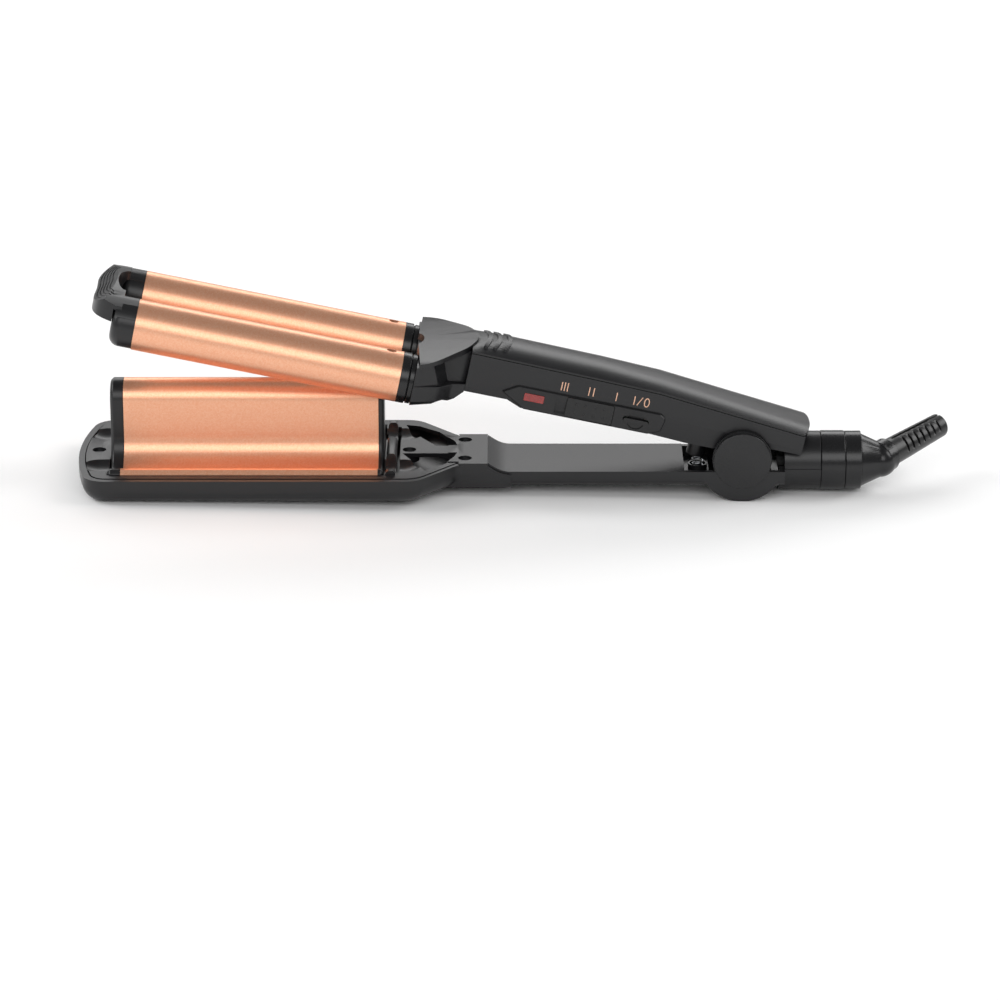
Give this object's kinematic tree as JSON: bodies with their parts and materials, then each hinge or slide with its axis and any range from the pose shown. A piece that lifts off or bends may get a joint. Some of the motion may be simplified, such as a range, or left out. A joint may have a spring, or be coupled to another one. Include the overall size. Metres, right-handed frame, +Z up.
{
  "type": "hair crimper",
  "caption": "Hair crimper with two upper barrels that close around a centre barrel and two troughs, sprung handles, heat slider, power button, locking ring and swivel cord exit.",
  "frame": {"origin": "centre of the bounding box at floor level, lying on its jaw and hinge boss as when put down open", "axes": "+X along the arms from the jaws to the cord, +Y away from the control side, +Z up"},
  "size_m": [0.3828, 0.0806, 0.0908],
  "materials": {
    "rose_gold_aluminium": "rose gold ceramic coating, satin",
    "charcoal_plastic": "fine spark-eroded texture",
    "satin_plastic": "satin",
    "panel_plastic": "satin",
    "bare_aluminium": "extruded",
    "steel": "zinc plated",
    "heater_ceramic": "unglazed",
    "red_lens": "clear tinted",
    "black_rubber": "matte",
    "circuit_board": "solder mask",
    "electrical_parts": "matte"
  },
  "bodies": {
    "lower_arm": {"lower_shell": "charcoal_plastic", "jaw_deck": "charcoal_plastic", "deck_screws": "steel", "neck_screws": "steel", "wave_plate": "rose_gold_aluminium", "plate_cap_tip": "charcoal_plastic", "plate_cap_rear": "charcoal_plastic", "lower_heater": "heater_ceramic", "heater_clip": "steel", "thermal_fuse": "electrical_parts", "arm_cover": "charcoal_plastic", "tail_cover": "charcoal_plastic", "hinge_pin": "steel", "hinge_cap_left": "satin_plastic", "hinge_cap_right": "satin_plastic", "lower_spring_cup": "charcoal_plastic", "return_spring": "steel", "tail_collar": "satin_plastic"},
    "upper_jaw": {"front_barrel": "rose_gold_aluminium", "front_nose": "charcoal_plastic", "front_collar": "satin_plastic", "front_heater": "heater_ceramic", "front_heat_spreader": "bare_aluminium", "rear_barrel": "rose_gold_aluminium", "rear_nose": "charcoal_plastic", "rear_collar": "satin_plastic", "rear_heater": "heater_ceramic", "rear_heat_spreader": "bare_aluminium", "tip_bridge": "charcoal_plastic", "head_shell": "charcoal_plastic", "head_base": "charcoal_plastic", "handle_shell": "charcoal_plastic", "handle_cover": "charcoal_plastic", "control_panel": "panel_plastic", "slider_guide": "charcoal_plastic", "button_dish": "panel_plastic", "indicator_lens": "red_lens", "circuit_board": "circuit_board", "indicator_lamp": "electrical_parts", "slide_switch": "electrical_parts", "power_switch": "electrical_parts", "power_capacitor": "electrical_parts", "upper_spring_cup": "charcoal_plastic", "hinge_bush_left": "bare_aluminium", "hinge_bush_right": "bare_aluminium"},
    "slider": {"temperature_slider": "black_rubber"},
    "button": {"power_button": "panel_plastic"},
    "lock": {"lock_ring": "satin_plastic"},
    "swivel": {"cord_swivel": "satin_plastic", "strain_relief": "black_rubber"}
  },
  "joints": [
    {"name": "jaw_hinge", "type": "hinge", "parent": "lower_arm", "child": "upper_jaw", "pos_m": [0.09795, 0, 0.019], "axis": [0, -1, 0], "range_deg": [0, 11.8], "stiffness_Nm_per_rad": 1.6, "springref_deg": -25.78, "deforming": ["return_spring"]},
    {"name": "heat_slide", "type": "slide", "parent": "upper_jaw", "child": "slider", "axis": [-0.9831, 0, 0.183], "range_m": [0, 0.0046]},
    {"name": "button_press", "type": "slide", "parent": "upper_jaw", "child": "button", "axis": [0, 1, 0], "range_m": [0, 0.0009], "stiffness_N_per_m": 600},
    {"name": "lock_turn", "type": "hinge", "parent": "lower_arm", "child": "lock", "pos_m": [0.13488, 0, 0.01361], "axis": [0.9998, 0, 0.0219], "range_deg": [0, 40]},
    {"name": "cord_turn", "type": "hinge", "parent": "lower_arm", "child": "swivel", "pos_m": [0.15078, 0, 0.01395], "axis": [0.9998, 0, 0.0219], "continuous": true}
  ]
}
